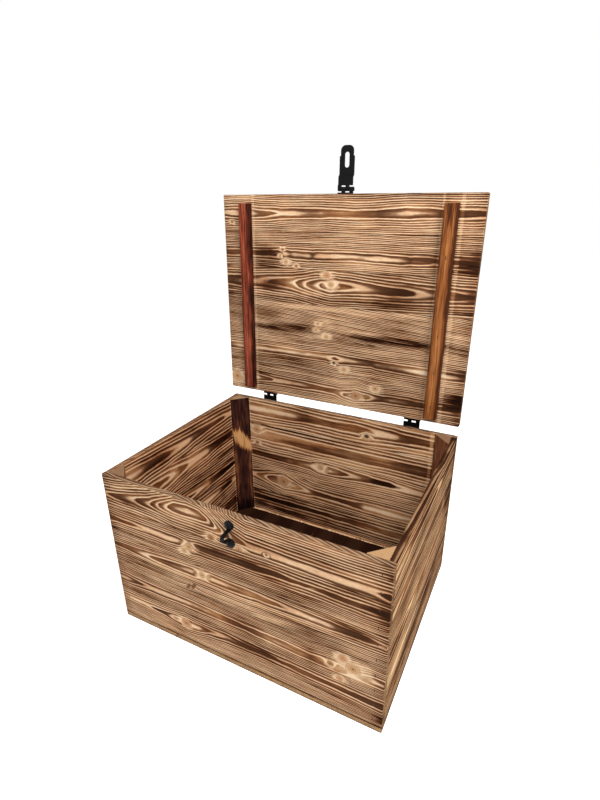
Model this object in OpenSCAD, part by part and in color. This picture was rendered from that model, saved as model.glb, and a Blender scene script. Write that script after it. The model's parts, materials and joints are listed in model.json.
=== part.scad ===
// Kindling box of flame-scorched pine: a stapled box with corner posts, a battened lid
// that stands open on two hinges, and a hasp that drops over a staple on the front.
// Millimetres, +Z up, front towards -Y. The origin is the middle of the underside.

/* [Box] */
// Width of the box over the end grain of the front wall
box_w = 500; // [380:5:700]
// Depth of the box over the front and back walls
box_d = 400; // [300:5:560]
// Height of the box without its lid
box_h = 305; // [220:5:420]
// Thickness of the four walls
wall_t = 10; // [9:0.5:14]
// Thickness of the bottom panel
bottom_t = 10; // [8:0.5:14]
// Staves glued edge to edge in each wall
wall_staves = 5; // [3:1:7]
// Staves glued edge to edge in the bottom
bottom_staves = 7; // [4:1:9]
// Legs of the triangular corner posts
post_leg = 30; // [24:1:36]
// Flat left on the sharp edges of the corner posts
post_blunt = 1.5; // [0.5:0.5:3]
// Rounding of the box's upright corners and of the lid's corners
corner_r = 2.5; // [1:0.5:4]
// Rounding of the sanded arrises
arris_r = 1; // [0.5:0.25:2]
// Depth of the fine glue line between two staves
seam_depth = 0.3; // [0.1:0.1:0.5]

/* [Lid] */
// Width of the lid
lid_w = 502; // [380:1:720]
// Depth of the lid
lid_d = 401; // [300:1:575]
// Thickness of the lid panel
lid_t = 12; // [10:0.5:16]
// Staves glued edge to edge in the lid
lid_staves = 6; // [3:1:8]
// Distance of the lid's rear edge in front of the back of the box, when shut
lid_setback = 3; // [0:0.5:4]
// Space between the shut lid and the rim
lid_seat = 0.2; // [0.1:0.1:0.5]
// Angle to which the lid stands open
lid_open = 91.5; // [85:0.5:100]
// Width of the two battens under the lid
batten_w = 23; // [18:1:32]
// Thickness of the battens
batten_t = 12; // [8:0.5:16]
// Distance of the battens from the lid's side edges
batten_inset = 42; // [40:1:70]
// Play of the battens between the front and back walls
batten_play = 1.5; // [1:0.5:4]

/* [Hinges and hasp] */
// Distance of each hinge's middle from the side of the box
hinge_inset = 90; // [60:5:140]
// Width of a row of knuckles, which is also the hinge's width
knuckle_row = 32; // [28:1:40]
// Length of the hinge leaves from the pin to their free edge
leaf_len = 42; // [38:1:50]
// Sheet thickness of the leaves, the hasp plate and the hasp arm
leaf_t = 1.8; // [1.2:0.1:2.2]
// Pin diameter
pin_d = 3.8; // [3:0.1:4.5]
// Radial play of the pins in their knuckles
pin_play = 0.05; // [0.02:0.01:0.08]
// Space between neighbouring knuckles
knuckle_gap = 0.3; // [0.2:0.1:0.5]
// Distance from the pin at which the hinge leaves are notched for each other's knuckles
hinge_notch = 6.4; // [5:0.2:9]
// Distance of the hasp from the middle of the box
hasp_x = 4.25; // [-60:0.25:60]
// Width of the hasp's row of knuckles
hasp_row = 30; // [28:1:40]
// Distance of the hasp's pin in front of the lid's front edge
hasp_reach = 8; // [6:0.2:10]
// Length of the hasp plate on the lid from the pin to its free edge
hasp_plate_len = 40; // [36:1:50]
// Distance from the pin at which the hasp's sheets are notched
hasp_notch = 5.8; // [5:0.2:8]
// Width of the hasp arm
arm_w = 28; // [24:1:32]
// Width of the hasp arm's tip
tip_w = 24; // [18:1:24]
// Rounding of the tip's corners
tip_r = 8.5; // [6:0.5:9]
// Length of the hasp arm from the pin to its tip
arm_len = 70.5; // [68:0.5:90]
// Distance from the free edge of a sheet to its last screw
edge_screw = 7; // [6:0.5:9]
// Distance between the two rows of screws in a hinge leaf
leaf_screw_pitch = 11.5; // [8:0.5:16]
// Distance between the two rows of screws in the hasp plate
plate_screw_pitch = 15; // [10:0.5:20]
// Distance of the outer screws from the middle of a sheet
screw_spread = 8.5; // [7:0.5:10]
// Length of the narrower tip past the arm's shoulders
tip_len = 17; // [13:0.5:20]
// Distance from the pin to the crank in the arm
crank_at = 20; // [16:1:22]
// Offset of the arm's outer part past the crank
crank_step = 4; // [2:0.5:5]
// Width of the slot in the arm
slot_w = 8.6; // [7.5:0.1:10]
// Length of the slot in the arm
slot_len = 25; // [22:1:30]

/* [Staple on the front] */
// Distance of the staple's middle below the rim
staple_drop = 33.8; // [30:0.2:38]
// Height of the staple's bow at the wall
bow_base_h = 20; // [18:0.5:22]
// Height of the bow where it stands out furthest
bow_front_h = 10.5; // [9:0.5:14]
// How much higher the bow's front sits than the staple's middle
bow_lift = 2.4; // [0:0.2:3]
// Distance that the bow stands out from the wall
bow_out = 20.5; // [18:0.5:26]
// Outer radius of the bow's bends
bow_bend_r = 4; // [3:0.5:5]
// Width of the strap that forms the bow
strap_w = 5.6; // [4:0.2:7]
// Thickness of the strap
strap_t = 2; // [1.5:0.25:2.5]
// Distance between the two ears
ear_pitch = 32; // [30:1:38]
// Radius of the ears
ear_r = 7.6; // [6.6:0.2:9]

/* [Fasteners] */
// Shank diameter of the wood screws
screw_d = 3.2; // [2.5:0.1:3.6]
// Length of the wood screws
screw_len = 10; // [8:0.5:11]
// Diameter of the countersunk heads
flat_head_d = 6.4; // [5.5:0.1:7]
// Diameter of the round heads on the ears
round_head_d = 11; // [7:0.5:12]
// Height of the round heads
round_head_h = 3; // [2:0.2:4]
// Width of a wire staple's crown
crown_w = 6; // [5:0.5:8]
// Thickness of the staple wire
wire_t = 1.2; // [1:0.1:1.4]
// Depth of the crowns below the wood's surface
crown_sink = 0.3; // [0.2:0.1:0.6]
// Length of wire that bites into the second piece of wood
staple_bite = 8; // [5:0.5:9]
// Distance of the staple columns from the ends of the long walls
column_inset = 15; // [13:0.5:18]
// Distance of the staple columns of the side walls from the long walls
side_column_inset = 12; // [11:0.5:14]

/* [Hidden] */

$fn = 48;
past = 1;                                   // how far a cutter runs past a face
fit = 0.05;                                 // play round each wire and shank in the wood
hinge_x = box_w / 2 - hinge_inset;          // the hinges' middles, either side of the box's middle
wall_h = box_h - bottom_t;
stave_h = wall_h / wall_staves;
side_len = box_d - 2 * wall_t;
knuckles = 4;
knuckle_r = pin_d / 2 + pin_play + leaf_t;
pin_head_t = 0.8;                           // height of a pin's peened end
pin_head_gap = 0.1;                         // play under it
lid_under = box_h + lid_seat;               // underside of the shut lid
lid_top = lid_under + lid_t;
lid_back = box_d / 2 - lid_setback;
lid_front = lid_back - lid_d;
axis_z = lid_top + knuckle_r;               // the pins' height, with the lid shut
hinge_y = box_d / 2 + knuckle_r;
hasp_y = lid_front - hasp_reach;
staple_z = box_h - staple_drop;
bow_z = staple_z + bow_lift;                // middle of the bow's front
slot_mid = axis_z - bow_z;                  // the slot meets the bow when shut
batten_front = -box_d / 2 + wall_t + batten_play;
batten_len = side_len - 2 * batten_play - lid_setback / 2;
side_column = wall_t + side_column_inset;
leaf_corner_r = 3;
bend_swell = 0.02;                          // how far a bend in the strap stands proud of its straights
leaf_screws = [
    [-screw_spread, leaf_len - edge_screw - leaf_screw_pitch], [screw_spread, leaf_len - edge_screw]
];
plate_screws = [
    [-screw_spread, hasp_plate_len - edge_screw - plate_screw_pitch],
    [screw_spread, hasp_plate_len - edge_screw - plate_screw_pitch],
    [0, hasp_plate_len - edge_screw]
];

pine = [0.76, 0.60, 0.42];
scorched = [0.50, 0.36, 0.24];
charred = [0.30, 0.20, 0.14];
mahogany = [0.45, 0.17, 0.09];
teak = [0.58, 0.33, 0.14];
black_metal = [0.10, 0.10, 0.11];
steel = [0.55, 0.55, 0.56];

// ---------- outlines ----------

// What a rounding of radius r takes off a corner at the origin
module corner_cut(r) {
    difference() {
        translate([-past, -past]) square(r + past);
        translate([r, r]) circle(r);
    }
}

// Rectangle from the origin, its corners rounded in turn from the origin anticlockwise
module eased_rect(w, h, radii) {
    difference() {
        square([w, h]);
        if (radii[0] > 0) corner_cut(radii[0]);
        if (radii[1] > 0) translate([w, 0]) mirror([1, 0]) corner_cut(radii[1]);
        if (radii[2] > 0) translate([w, h]) rotate(180) corner_cut(radii[2]);
        if (radii[3] > 0) translate([0, h]) mirror([0, 1]) corner_cut(radii[3]);
    }
}

// ---------- boards ----------

// Fine V cut along X, centred on the origin
module seam_cut(len) {
    rotate([45, 0, 0]) cube([len, seam_depth * sqrt(2), seam_depth * sqrt(2)], center = true);
}

// Glue lines of a panel that lies flat: staves run along X and are counted along Y
module panel_seams(len, width, staves, t) {
    for (i = [1:staves - 1], face = [0, t])
        translate([0, i * width / staves - width / 2, face]) seam_cut(len + 2 * past);
}

// Board of a wall, standing on z = 0 with its outer face on y = 0 and its middle on x = 0.
// The long walls show their ends, so those are rounded too.
module wall_board(len, end_r) {
    difference() {
        intersection() {
            translate([-len / 2, 0, 0]) linear_extrude(wall_h + past)
                eased_rect(len, wall_t, [end_r, end_r, 0, 0]);
            translate([-len / 2 - past, 0, 0]) rotate([90, 0, 90]) linear_extrude(len + 2 * past)
                translate([0, -past]) eased_rect(wall_t, wall_h + past, [0, 0, arris_r, arris_r]);
        }
        for (i = [1:wall_staves - 1], face = [0, wall_t])
            translate([0, face, i * stave_h]) seam_cut(len + 2 * past);
    }
}

module at_front() {
    translate([0, -box_d / 2, 0]) children();
}

module at_back() {
    rotate([0, 0, 180]) at_front() children();
}

module at_left() {
    rotate([0, 0, -90]) translate([0, -box_w / 2, 0]) children();
}

module at_right() {
    rotate([0, 0, 90]) translate([0, -box_w / 2, 0]) children();
}

// ---------- wire staples ----------

// Wire staple driven along +Y from y = 0, with its crown upright; grow widens it into its own slot
module wire_staple(depth, grow) {
    leg = wire_t + 2 * grow;
    front = grow > 0 ? -past : crown_sink;
    translate([-leg / 2, front, -crown_w / 2 - grow])
        cube([leg, crown_sink + wire_t / 2 + grow - front, crown_w + 2 * grow]);
    for (side = [-1, 1])
        translate([-leg / 2, front, side * (crown_w - wire_t) / 2 - leg / 2])
            cube([leg, depth + grow - front, leg]);
}

// Heights of the staples in a wall, two in each stave
function staple_heights() = [
    for (i = [0:wall_staves - 1], part = [0.2, 0.7]) bottom_t + (i + part) * stave_h
];

// One column of staples at x on a wall whose outer face is on y = 0
module staple_column(x, grow) {
    for (z = staple_heights()) translate([x, 0, z]) wire_staple(wall_t + staple_bite, grow);
}

module long_wall_staples(grow) {
    for (side = [-1, 1]) staple_column(side * (box_w / 2 - column_inset), grow);
}

module side_wall_staples(grow) {
    for (side = [-1, 1]) staple_column(side * (box_d / 2 - side_column), grow);
}

module all_wall_staples(grow) {
    at_front() long_wall_staples(grow);
    at_back() long_wall_staples(grow);
    at_left() side_wall_staples(grow);
    at_right() side_wall_staples(grow);
}

// Row of staples from below through the bottom into the edge of a wall of length len
module bottom_row(len, count, grow) {
    for (i = [0:count - 1])
        translate([(i - (count - 1) / 2) * len / count, wall_t / 2, 0])
            rotate([90, 0, 90]) wire_staple(bottom_t + staple_bite, grow);
}

module all_bottom_staples(grow) {
    at_front() bottom_row(box_w, 6, grow);
    at_back() bottom_row(box_w, 6, grow);
    at_left() bottom_row(side_len, 4, grow);
    at_right() bottom_row(side_len, 4, grow);
}

// ---------- screws ----------

// Cross recess in a head whose top is on z = 0
module cross_recess(size) {
    for (turn = [0, 90]) rotate([0, 0, turn]) cube([size, 0.9, 2 * 0.9], center = true);
}

// Countersunk wood screw along -Z, head flush with z = 0
module flat_screw() {
    difference() {
        union() {
            translate([0, 0, -leaf_t]) cylinder(d1 = screw_d, d2 = flat_head_d, h = leaf_t);
            translate([0, 0, -screw_len]) cylinder(d = screw_d, h = screw_len - leaf_t);
        }
        cross_recess(flat_head_d * 0.6);
    }
}

// Round-headed wood screw along -Z, its head seated on z = 0
module round_screw() {
    r = round_head_d / 2;
    ball_r = (r * r + round_head_h * round_head_h) / (2 * round_head_h);
    difference() {
        union() {
            intersection() {
                translate([0, 0, round_head_h - ball_r]) sphere(ball_r);
                cylinder(r = r + past, h = round_head_h + past);
            }
            translate([0, 0, -screw_len]) cylinder(d = screw_d, h = screw_len);
        }
        translate([0, 0, round_head_h]) cross_recess(round_head_d * 0.5);
    }
}

// Hole for a screw's shank in the wood, from z = 0 down
module pilot_hole() {
    translate([0, 0, -screw_len - 2 * fit]) cylinder(d = screw_d + 2 * fit, h = screw_len + 2 * fit + past);
}

// ---------- hinge leaves ----------
// A leaf's own frame: the pin along X through the origin, the sheet hanging down -Z,
// its wood side on y = -knuckle_r.

// Countersunk holes through a sheet
module leaf_holes(places) {
    for (p = places) translate([p[0], -knuckle_r + leaf_t, -p[1]]) rotate([-90, 0, 0]) {
        translate([0, 0, -leaf_t]) cylinder(d1 = screw_d + 4 * fit, d2 = flat_head_d + 4 * fit, h = leaf_t);
        translate([0, 0, -leaf_t - past]) cylinder(d = screw_d + 4 * fit, h = leaf_t + 2 * past);
    }
}

// Put what belongs to a screw at each place on a sheet
module on_leaf(places) {
    for (p = places) translate([p[0], -knuckle_r + leaf_t, -p[1]]) rotate([-90, 0, 0]) children();
}

// Every second knuckle of the row, from the given one, each with the tongue that joins it to its sheet
module leaf_knuckles(first, notch, row) {
    knuckle_w = row / knuckles;
    for (k = [first:2:knuckles - 1])
        translate([(k - knuckles / 2) * knuckle_w + knuckle_gap / 2, 0, 0])
            rotate([90, 0, 90]) linear_extrude(knuckle_w - knuckle_gap) difference() {
                union() {
                    circle(knuckle_r);
                    translate([-knuckle_r, -notch - past]) square([leaf_t, notch + past]);
                }
                circle(pin_d / 2 + pin_play);
            }
}

// Sheet of a leaf with its two free corners rounded
module leaf_sheet(len, notch, row) {
    translate([-row / 2, -knuckle_r + leaf_t, -len]) rotate([90, 0, 0]) linear_extrude(leaf_t)
        eased_rect(row, len - notch, [leaf_corner_r, leaf_corner_r, 0, 0]);
}

module leaf(first, len, notch, row, places) {
    difference() {
        union() {
            leaf_sheet(len, notch, row);
            leaf_knuckles(first, notch, row);
        }
        leaf_holes(places);
    }
}

// Pin with a peened dome on each end
module pin(row) {
    shank = row - knuckle_gap + 2 * pin_head_gap;
    dome_r = pin_d / 2 + leaf_t / 2;
    rotate([0, 90, 0]) {
        cylinder(d = pin_d, h = shank, center = true);
        for (side = [-1, 1]) scale(side) translate([0, 0, shank / 2]) intersection() {
            translate([0, 0, pin_head_t - 2 * dome_r]) sphere(2 * dome_r);
            cylinder(r = dome_r, h = pin_head_t);
        }
    }
}

// ---------- places on the lid ----------

// Turn what is drawn on the shut lid up to where the lid stands
module with_lid() {
    translate([0, hinge_y, axis_z]) rotate([-lid_open, 0, 0]) translate([0, -hinge_y, -axis_z]) children();
}

module at_hinge(x) {
    translate([x, hinge_y, axis_z]) children();
}

// A box leaf's frame turned into a lid leaf's
module over_lid() {
    rotate([-90, 0, 0]) mirror([0, 1, 0]) children();
}

module at_hasp() {
    translate([hasp_x, hasp_y, axis_z]) children();
}

// A leaf's frame turned onto the lid behind the hasp's pin
module behind_hasp() {
    rotate([90, 0, 0]) children();
}

module at_staple_ears() {
    for (side = [-1, 1])
        translate([hasp_x, -box_d / 2 - strap_t, staple_z + side * ear_pitch / 2]) rotate([90, 0, 0]) children();
}

// ---------- box ----------

module bottom_panel() {
    color(charred) difference() {
        intersection() {
            translate([-box_w / 2, -box_d / 2, 0]) linear_extrude(bottom_t)
                eased_rect(box_w, box_d, [corner_r, corner_r, corner_r, corner_r]);
            translate([-box_w / 2, box_d / 2 + past, 0]) rotate([90, 0, 0]) linear_extrude(box_d + 2 * past)
                eased_rect(box_w, bottom_t + past, [arris_r, arris_r, 0, 0]);
        }
        rotate([0, 0, 90]) panel_seams(box_d, box_w, bottom_staves, bottom_t);
        all_bottom_staples(fit);
    }
}

module front_wall() {
    color(pine) difference() {
        at_front() translate([0, 0, bottom_t]) wall_board(box_w, corner_r);
        at_front() long_wall_staples(fit);
        all_bottom_staples(fit);
        at_staple_ears() pilot_hole();
    }
}

module back_wall() {
    color(scorched) difference() {
        at_back() translate([0, 0, bottom_t]) wall_board(box_w, corner_r);
        at_back() long_wall_staples(fit);
        all_bottom_staples(fit);
        for (x = [-hinge_x, hinge_x]) at_hinge(x) on_leaf(leaf_screws) pilot_hole();
    }
}

module left_wall() {
    color(scorched) difference() {
        at_left() translate([0, 0, bottom_t]) wall_board(side_len, 0);
        at_left() side_wall_staples(fit);
        all_bottom_staples(fit);
    }
}

module right_wall() {
    color(scorched) difference() {
        at_right() translate([0, 0, bottom_t]) wall_board(side_len, 0);
        at_right() side_wall_staples(fit);
        all_bottom_staples(fit);
    }
}

// Corner post in the corner towards +X and +Y, then mirrored to its place
module corner_post(side_x, side_y) {
    corner_x = box_w / 2 - wall_t;
    corner_y = box_d / 2 - wall_t;
    difference() {
        mirror([side_x < 0 ? 1 : 0, 0, 0]) mirror([0, side_y < 0 ? 1 : 0, 0])
            translate([corner_x, corner_y, bottom_t]) linear_extrude(wall_h) polygon([
                [0, 0], [-post_leg, 0], [-post_leg, -post_blunt],
                [-post_blunt, -post_leg], [0, -post_leg]
            ]);
        all_wall_staples(fit);
    }
}

module corner_post_front_left() {
    color(pine) corner_post(-1, -1);
}

module corner_post_front_right() {
    color(pine) corner_post(1, -1);
}

module corner_post_back_left() {
    color(charred) corner_post(-1, 1);
}

module corner_post_back_right() {
    color(scorched) corner_post(1, 1);
}

module wall_staples() {
    color(steel) all_wall_staples(0);
}

module bottom_staples() {
    color(steel) all_bottom_staples(0);
}

// ---------- lid ----------

// Staples of one batten, driven up from its face into the lid, one in each stave
module batten_row(side, grow) {
    stave = lid_d / lid_staves;
    for (i = [0:lid_staves - 1])
        translate([side * batten_mid(), lid_front + (i + 0.5) * stave, lid_under - batten_t])
            rotate([90, 0, 0]) wire_staple(batten_t + staple_bite, grow);
}

function batten_mid() = lid_w / 2 - batten_inset - batten_w / 2;

module lid_panel() {
    color(pine) with_lid() difference() {
        intersection() {
            translate([-lid_w / 2, lid_front, lid_under]) linear_extrude(lid_t)
                eased_rect(lid_w, lid_d, [corner_r, corner_r, corner_r, corner_r]);
            translate([-lid_w / 2, lid_back + past, lid_under]) rotate([90, 0, 0])
                linear_extrude(lid_d + 2 * past)
                    eased_rect(lid_w, lid_t, [arris_r, arris_r, arris_r, arris_r]);
        }
        translate([0, lid_front + lid_d / 2, lid_under]) panel_seams(lid_w, lid_d, lid_staves, lid_t);
        for (side = [-1, 1]) batten_row(side, fit);
        for (x = [-hinge_x, hinge_x]) at_hinge(x) over_lid() on_leaf(leaf_screws) pilot_hole();
        at_hasp() behind_hasp() on_leaf(plate_screws) pilot_hole();
    }
}

module lid_batten(side) {
    with_lid() difference() {
        translate([side * batten_mid() - batten_w / 2, batten_front + batten_len, lid_under - batten_t])
            rotate([90, 0, 0]) linear_extrude(batten_len)
                eased_rect(batten_w, batten_t, [arris_r, arris_r, 0, 0]);
        batten_row(side, fit);
    }
}

module lid_batten_left() {
    color(mahogany) lid_batten(-1);
}

module lid_batten_right() {
    color(teak) lid_batten(1);
}

module batten_staples() {
    color(steel) with_lid() for (side = [-1, 1]) batten_row(side, 0);
}

// ---------- hinges ----------

module box_leaf(x) {
    color(black_metal) at_hinge(x)
        leaf(1, leaf_len, hinge_notch, knuckle_row, leaf_screws);
}

module lid_leaf(x) {
    color(black_metal) with_lid() at_hinge(x) over_lid()
        leaf(0, leaf_len, hinge_notch, knuckle_row, leaf_screws);
}

module hinge_left_box_leaf() {
    box_leaf(-hinge_x);
}

module hinge_left_lid_leaf() {
    lid_leaf(-hinge_x);
}

module hinge_left_pin() {
    color(black_metal) at_hinge(-hinge_x) pin(knuckle_row);
}

module hinge_right_box_leaf() {
    box_leaf(hinge_x);
}

module hinge_right_lid_leaf() {
    lid_leaf(hinge_x);
}

module hinge_right_pin() {
    color(black_metal) at_hinge(hinge_x) pin(knuckle_row);
}

module hinge_box_screws() {
    color(black_metal) for (x = [-hinge_x, hinge_x]) at_hinge(x) on_leaf(leaf_screws) flat_screw();
}

module hinge_lid_screws() {
    color(black_metal) with_lid() for (x = [-hinge_x, hinge_x])
        at_hinge(x) over_lid() on_leaf(leaf_screws) flat_screw();
}

// ---------- hasp ----------

module hasp_plate() {
    color(black_metal) with_lid() at_hasp() behind_hasp()
        leaf(1, hasp_plate_len, hasp_notch, hasp_row, plate_screws);
}

// Side view of the arm: flat, cranked outwards at 45 degrees, and flat again
module arm_side() {
    inner = -knuckle_r;
    mitre = leaf_t * tan(22.5);
    polygon([
        [inner, -hasp_notch + past], [inner, -crank_at],
        [inner + crank_step, -crank_at - crank_step], [inner + crank_step, -arm_len - past],
        [inner + crank_step + leaf_t, -arm_len - past],
        [inner + crank_step + leaf_t, -crank_at - crank_step + mitre],
        [inner + leaf_t, -crank_at + mitre], [inner + leaf_t, -hasp_notch + past]
    ]);
}

// Front view of the arm: straight sides, shoulders, and a tip with rounded corners
module arm_front() {
    translate([-arm_w / 2, tip_len - arm_len]) square([arm_w, arm_len - tip_len - hasp_notch]);
    translate([-tip_w / 2, -arm_len]) eased_rect(tip_w, arm_len - hasp_notch, [tip_r, tip_r, 0, 0]);
}

module slot_front() {
    run = slot_len - slot_w;
    translate([-slot_w / 2, -slot_mid - run / 2]) square([slot_w, run]);
    for (side = [-1, 1]) translate([0, -slot_mid + side * run / 2]) circle(slot_w / 2);
}

module hasp_arm() {
    deep = knuckle_r + crank_step + leaf_t + past;
    color(black_metal) with_lid() at_hasp() over_lid() {
        difference() {
            intersection() {
                translate([-arm_w / 2 - past, 0, 0]) rotate([90, 0, 90]) linear_extrude(arm_w + 2 * past)
                    arm_side();
                translate([0, deep, 0]) rotate([90, 0, 0]) linear_extrude(2 * deep) arm_front();
            }
            translate([0, deep + past, 0]) rotate([90, 0, 0]) linear_extrude(2 * (deep + past)) slot_front();
        }
        leaf_knuckles(0, hasp_notch, hasp_row);
    }
}

module hasp_pin() {
    color(black_metal) with_lid() at_hasp() pin(hasp_row);
}

module hasp_screws() {
    color(black_metal) with_lid() at_hasp() behind_hasp() on_leaf(plate_screws) flat_screw();
}

// What lies inside a face of the strap in one half of the bow's side view: outwards is -x,
// the front's middle is on y = 0, r is the face's bend radius and the leg rises by lean to back
module inside_face(r, lean, back) {
    turn_x = -bow_out + bow_bend_r;
    turn_y = bow_front_h / 2 - bow_bend_r / tan(45 + lean / 2);
    top = turn_y + r * cos(lean) + (back - turn_x + r * sin(lean)) * tan(lean);
    polygon([
        [back, 0], [back, top], [turn_x - r * sin(lean), turn_y + r * cos(lean)],
        [turn_x - r, turn_y], [turn_x - r, 0]
    ]);
    translate([turn_x, turn_y]) circle(r + bend_swell);
}

// Side view of the strap: each half has a leg of the bow and the foot that lies under an ear
module strap_side() {
    for (side = [-1, 1]) translate([0, bow_lift]) mirror([0, side < 0 ? 1 : 0]) {
        leg_top = bow_base_h / 2 - side * bow_lift;
        ear_mid = ear_pitch / 2 - side * bow_lift;
        lean = atan((leg_top - bow_front_h / 2) / bow_out);
        difference() {
            inside_face(bow_bend_r, lean, 0);
            inside_face(bow_bend_r - strap_t, lean, past);
            translate([-2 * bow_out, -bow_out]) square([3 * bow_out, bow_out]);
        }
        translate([-strap_t, leg_top - strap_t]) square([strap_t, ear_mid - leg_top + strap_t]);
    }
}

module hasp_staple() {
    color(black_metal) difference() {
        translate([hasp_x, -box_d / 2, staple_z]) {
            translate([-strap_w / 2, 0, 0]) rotate([90, 0, 90]) linear_extrude(strap_w) strap_side();
            for (side = [-1, 1]) translate([0, 0, side * ear_pitch / 2])
                rotate([90, 0, 0]) cylinder(r = ear_r, h = strap_t);
        }
        at_staple_ears() translate([0, 0, -strap_t - past]) cylinder(d = screw_d + 4 * fit, h = strap_t + 2 * past);
    }
}

module hasp_staple_screws() {
    color(black_metal) at_staple_ears() round_screw();
}

bottom_panel();
front_wall();
back_wall();
left_wall();
right_wall();
corner_post_front_left();
corner_post_front_right();
corner_post_back_left();
corner_post_back_right();
wall_staples();
bottom_staples();
lid_panel();
lid_batten_left();
lid_batten_right();
batten_staples();
hinge_left_box_leaf();
hinge_left_lid_leaf();
hinge_left_pin();
hinge_right_box_leaf();
hinge_right_lid_leaf();
hinge_right_pin();
hinge_box_screws();
hinge_lid_screws();
hasp_plate();
hasp_arm();
hasp_pin();
hasp_screws();
hasp_staple();
hasp_staple_screws();
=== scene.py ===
import json
import math
from dataclasses import dataclass

import bpy
from mathutils import Matrix, Vector


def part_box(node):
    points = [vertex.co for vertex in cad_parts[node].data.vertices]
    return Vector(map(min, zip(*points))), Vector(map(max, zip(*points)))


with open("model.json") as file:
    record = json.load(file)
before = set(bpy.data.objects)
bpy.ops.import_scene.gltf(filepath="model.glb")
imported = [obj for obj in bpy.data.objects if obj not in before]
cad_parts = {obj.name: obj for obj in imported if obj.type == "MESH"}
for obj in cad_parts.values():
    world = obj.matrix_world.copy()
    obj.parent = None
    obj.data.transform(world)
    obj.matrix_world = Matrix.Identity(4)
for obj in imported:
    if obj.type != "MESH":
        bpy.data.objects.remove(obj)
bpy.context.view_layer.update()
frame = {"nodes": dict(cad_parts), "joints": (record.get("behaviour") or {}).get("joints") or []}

# ---------- sizes that the grain lines up with, in mm ----------

MM = 1000.0                         # millimetres in a metre


def extent(node, axis):
    """A node's lowest and highest place along an axis (0 is X), at rest."""
    low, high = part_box(node)
    return low[axis] * MM, high[axis] * MM


def size(node, axis):
    """A node's length along an axis."""
    low, high = extent(node, axis)
    return high - low


BOX_W = size("front_wall", 0)
BOX_D = size("bottom_panel", 1)
WALL_T = size("front_wall", 1)
BOTTOM_T, BOX_H = extent("front_wall", 2)

LID_W = size("lid_panel", 0)
LID_D, LID_T = 401.0, 12.0
LID_SETBACK = 3.0                   # from the back wall's face to the lid's rear edge
KNUCKLE_R = 3.75
BATTEN_W = size("lid_batten_left", 0)
HALF_ROOT = math.sqrt(0.5)
POST_FACE = size("corner_post_back_left", 0) / HALF_ROOT    # the face that looks into the box
LID_HINGE = next(joint for joint in frame["joints"] if joint["name"] == "lid_hinge")
LID_OPEN = math.radians(LID_HINGE["range_deg"][1])
AXIS_Y, AXIS_Z = (place * MM for place in LID_HINGE["pos_m"][1:])
LID_UNDER = AXIS_Z - KNUCKLE_R - LID_T      # the lid's underside and front edge when it is shut
LID_FRONT = BOX_D / 2 - LID_SETBACK - LID_D

WALL_STAVE = (BOX_H - BOTTOM_T) / 5
LID_STAVE = LID_D / 6
BOTTOM_STAVES = 7
SIDE_LEN = BOX_D - 2 * WALL_T


# ---------- short notation for node trees ----------

def srgb(red, green, blue):
    """Linear colour of a colour given as 0..255 display values."""
    def linear(level):
        level = level / 255.0
        return level / 12.92 if level <= 0.04045 else ((level + 0.055) / 1.055) ** 2.4
    return (linear(red), linear(green), linear(blue), 1.0)


def grey(level):
    return (level, level, level, 1.0)


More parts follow.
